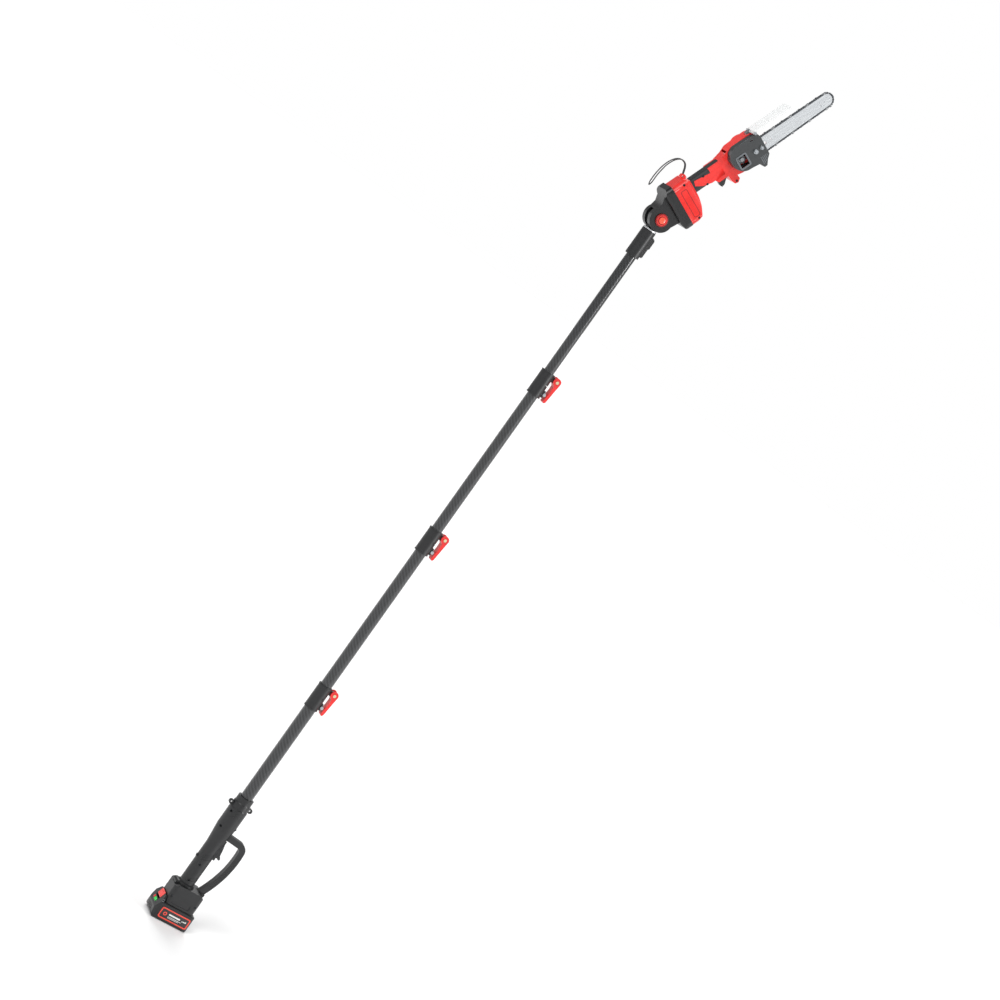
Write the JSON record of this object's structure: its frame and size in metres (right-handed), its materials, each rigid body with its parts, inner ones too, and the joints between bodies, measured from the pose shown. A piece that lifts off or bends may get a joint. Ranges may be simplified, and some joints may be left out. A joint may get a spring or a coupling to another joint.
{
  "type": "telescoping pole saw",
  "caption": "Battery pole saw: telescoping carbon pole with flip-lock clamps, D-guard handle at the battery end and a tilting mini chainsaw head.",
  "frame": {"origin": "underside of the battery, on the pole's axis", "axes": "+Z along the pole towards the saw head; +X is the side of the triggers and the hand guard; -Y is the side of the sprocket cover"},
  "size_m": [0.2745, 0.096, 2.6933],
  "materials": {
    "housing_black": "moulded glass-filled nylon, satin, with textured grip zones",
    "housing_red": "moulded ABS, semi-gloss red",
    "lever_red": "moulded red nylon",
    "carbon_tube": "clear-coated woven carbon composite",
    "rubber_grip": "overmoulded matt rubber",
    "cover_grey": "moulded dark grey plastic, fine texture",
    "steel": "zinc-plated and ground steel",
    "bar_steel": "ground and polished spring steel",
    "chain_steel": "hardened chain steel, chromed cutters",
    "brass_pin": "turned",
    "ring_silver": "turned aluminium",
    "clear_white": "frosted clear polycarbonate",
    "gauge_green": "smoked lens over green lamps",
    "cell_blue": "shrink-wrapped steel cell",
    "board_green": "solder-masked board",
    "label": "printed film label, plain red border",
    "cord": "braided polyester cord",
    "lead": "coiled rubber-covered lead"
  },
  "bodies": {
    "handle": {"handle_near_shell": "housing_black", "handle_far_shell": "housing_black", "hand_guard": "housing_black", "handle_screws": "steel", "control_board": "board_green", "terminal_block": "cover_grey", "main_switch": "cover_grey", "trigger_spring": "steel", "tube_1": "carbon_tube", "clamp_collar_1": "housing_black", "clamp_pins_1": "brass_pin", "coiled_lead_1": "lead"},
    "main_trigger": {"main_trigger": "housing_black"},
    "lock_off_button": {"lock_off_button": "housing_black"},
    "lever_1": {"clamp_lever_1": "lever_red"},
    "battery": {"battery_lower_case": "housing_black", "battery_upper_case": "housing_black", "battery_cells": "cell_blue", "battery_labels": "label", "battery_gauge_lens": "gauge_green"},
    "battery_latch": {"battery_latch": "housing_red"},
    "gauge_button": {"gauge_button": "housing_red"},
    "tube_2": {"tube_2": "carbon_tube", "clamp_collar_2": "housing_black", "clamp_pins_2": "brass_pin", "coiled_lead_2": "lead"},
    "lever_2": {"clamp_lever_2": "lever_red"},
    "tube_3": {"tube_3": "carbon_tube", "clamp_collar_3": "housing_black", "clamp_pins_3": "brass_pin", "coiled_lead_3": "lead"},
    "lever_3": {"clamp_lever_3": "lever_red"},
    "tube_4": {"tube_4": "carbon_tube", "top_socket": "housing_black", "socket_ring": "ring_silver", "knuckle_tongue": "cover_grey", "coiled_lead_4": "lead"},
    "socket_latch": {"socket_latch": "housing_black"},
    "head": {"adapter_near_shell": "housing_black", "adapter_far_shell": "housing_black", "pivot_bolt": "steel", "saw_near_shell": "housing_red", "saw_far_shell": "housing_red", "grip_overmould": "rubber_grip", "motor_can": "steel", "sprocket_cover": "cover_grey", "cover_nuts": "steel", "guide_bar": "bar_steel", "saw_chain": "chain_steel", "saw_screws": "steel", "saw_switch": "cover_grey", "baffle_screws": "steel", "wrist_strap": "cord"},
    "tilt_button": {"tilt_button": "housing_red"},
    "saw_trigger": {"saw_trigger": "housing_black"},
    "saw_lock_button": {"saw_lock_button": "housing_black"},
    "chip_baffle": {"chip_baffle": "clear_white"},
    "drive": {"drive_gear": "steel"},
    "rotor": {"motor_rotor": "steel"},
    "nose_wheel": {"nose_sprocket": "steel"}
  },
  "joints": [
    {"name": "main_trigger_pull", "type": "slide", "parent": "handle", "child": "main_trigger", "axis": [-1, 0, 0], "range_m": [0, 0.005], "stiffness_N_per_m": 500, "springref_m": -0.002, "deforming": ["trigger_spring"]},
    {"name": "lock_off_press", "type": "slide", "parent": "handle", "child": "lock_off_button", "axis": [1, 0, 0], "range_m": [0, 0.0022], "stiffness_N_per_m": 400, "springref_m": -0.0015},
    {"name": "lever_1_swing", "type": "hinge", "parent": "handle", "child": "lever_1", "pos_m": [0.0324, 0, 0.729], "axis": [0, -1, 0], "range_deg": [0, 110]},
    {"name": "battery_slide", "type": "slide", "parent": "handle", "child": "battery", "axis": [-1, 0, 0], "range_m": [0, 0.088]},
    {"name": "battery_latch_press", "type": "slide", "parent": "battery", "child": "battery_latch", "axis": [0, 0, -1], "range_m": [0, 0.004], "stiffness_N_per_m": 500, "springref_m": -0.002},
    {"name": "gauge_button_press", "type": "slide", "parent": "battery", "child": "gauge_button", "axis": [0.952, 0, -0.306], "range_m": [0, 0.0008], "stiffness_N_per_m": 400, "springref_m": -0.001},
    {"name": "tube_2_slide", "type": "slide", "parent": "handle", "child": "tube_2", "axis": [0, 0, 1], "range_m": [-0.368, 0], "deforming": ["coiled_lead_1"]},
    {"name": "lever_2_swing", "type": "hinge", "parent": "tube_2", "child": "lever_2", "pos_m": [0.0324, 0, 1.219], "axis": [0, -1, 0], "range_deg": [0, 110]},
    {"name": "tube_3_slide", "type": "slide", "parent": "tube_2", "child": "tube_3", "axis": [0, 0, 1], "range_m": [-0.414, 0], "deforming": ["coiled_lead_2"]},
    {"name": "lever_3_swing", "type": "hinge", "parent": "tube_3", "child": "lever_3", "pos_m": [0.0324, 0, 1.709], "axis": [0, -1, 0], "range_deg": [0, 110]},
    {"name": "tube_4_slide", "type": "slide", "parent": "tube_3", "child": "tube_4", "axis": [0, 0, 1], "range_m": [-0.344, 0], "deforming": ["coiled_lead_3"]},
    {"name": "socket_latch_press", "type": "slide", "parent": "tube_4", "child": "socket_latch", "axis": [-1, 0, 0], "range_m": [0, 0.0018], "stiffness_N_per_m": 500, "springref_m": -0.0015},
    {"name": "head_tilt", "type": "hinge", "parent": "tube_4", "child": "head", "pos_m": [0, 0, 2.19], "axis": [0, 1, 0], "range_deg": [-21.7, 68.3]},
    {"name": "tilt_button_press", "type": "slide", "parent": "head", "child": "tilt_button", "axis": [0, 1, 0], "range_m": [0, 0.0025], "stiffness_N_per_m": 500, "springref_m": -0.002},
    {"name": "saw_trigger_pull", "type": "slide", "parent": "head", "child": "saw_trigger", "axis": [-0.9291, 0, 0.3697], "range_m": [0, 0.005], "stiffness_N_per_m": 500, "springref_m": -0.002},
    {"name": "saw_lock_press", "type": "slide", "parent": "head", "child": "saw_lock_button", "axis": [0, -1, 0], "range_m": [0, 0.0015], "stiffness_N_per_m": 400, "springref_m": -0.0015},
    {"name": "baffle_swing", "type": "hinge", "parent": "head", "child": "chip_baffle", "pos_m": [0.06129, 0, 2.49818], "axis": [0, -1, 0], "range_deg": [0, 80]},
    {"name": "drive_spin", "type": "hinge", "parent": "head", "child": "drive", "pos_m": [0.08203, 0, 2.42858], "axis": [0, 1, 0], "continuous": true},
    {"name": "rotor_spin", "type": "hinge", "parent": "head", "child": "rotor", "pos_m": [0.08688, 0, 2.45697], "axis": [0, 1, 0], "continuous": true},
    {"name": "nose_wheel_spin", "type": "hinge", "parent": "head", "child": "nose_wheel", "pos_m": [0.17908, 0, 2.67248], "axis": [0, 1, 0], "continuous": true}
  ],
  "couplings": [
    {"joint": "rotor_spin", "follows": "drive_spin", "ratio": -4.1429},
    {"joint": "nose_wheel_spin", "follows": "drive_spin", "ratio": 0.77778}
  ]
}
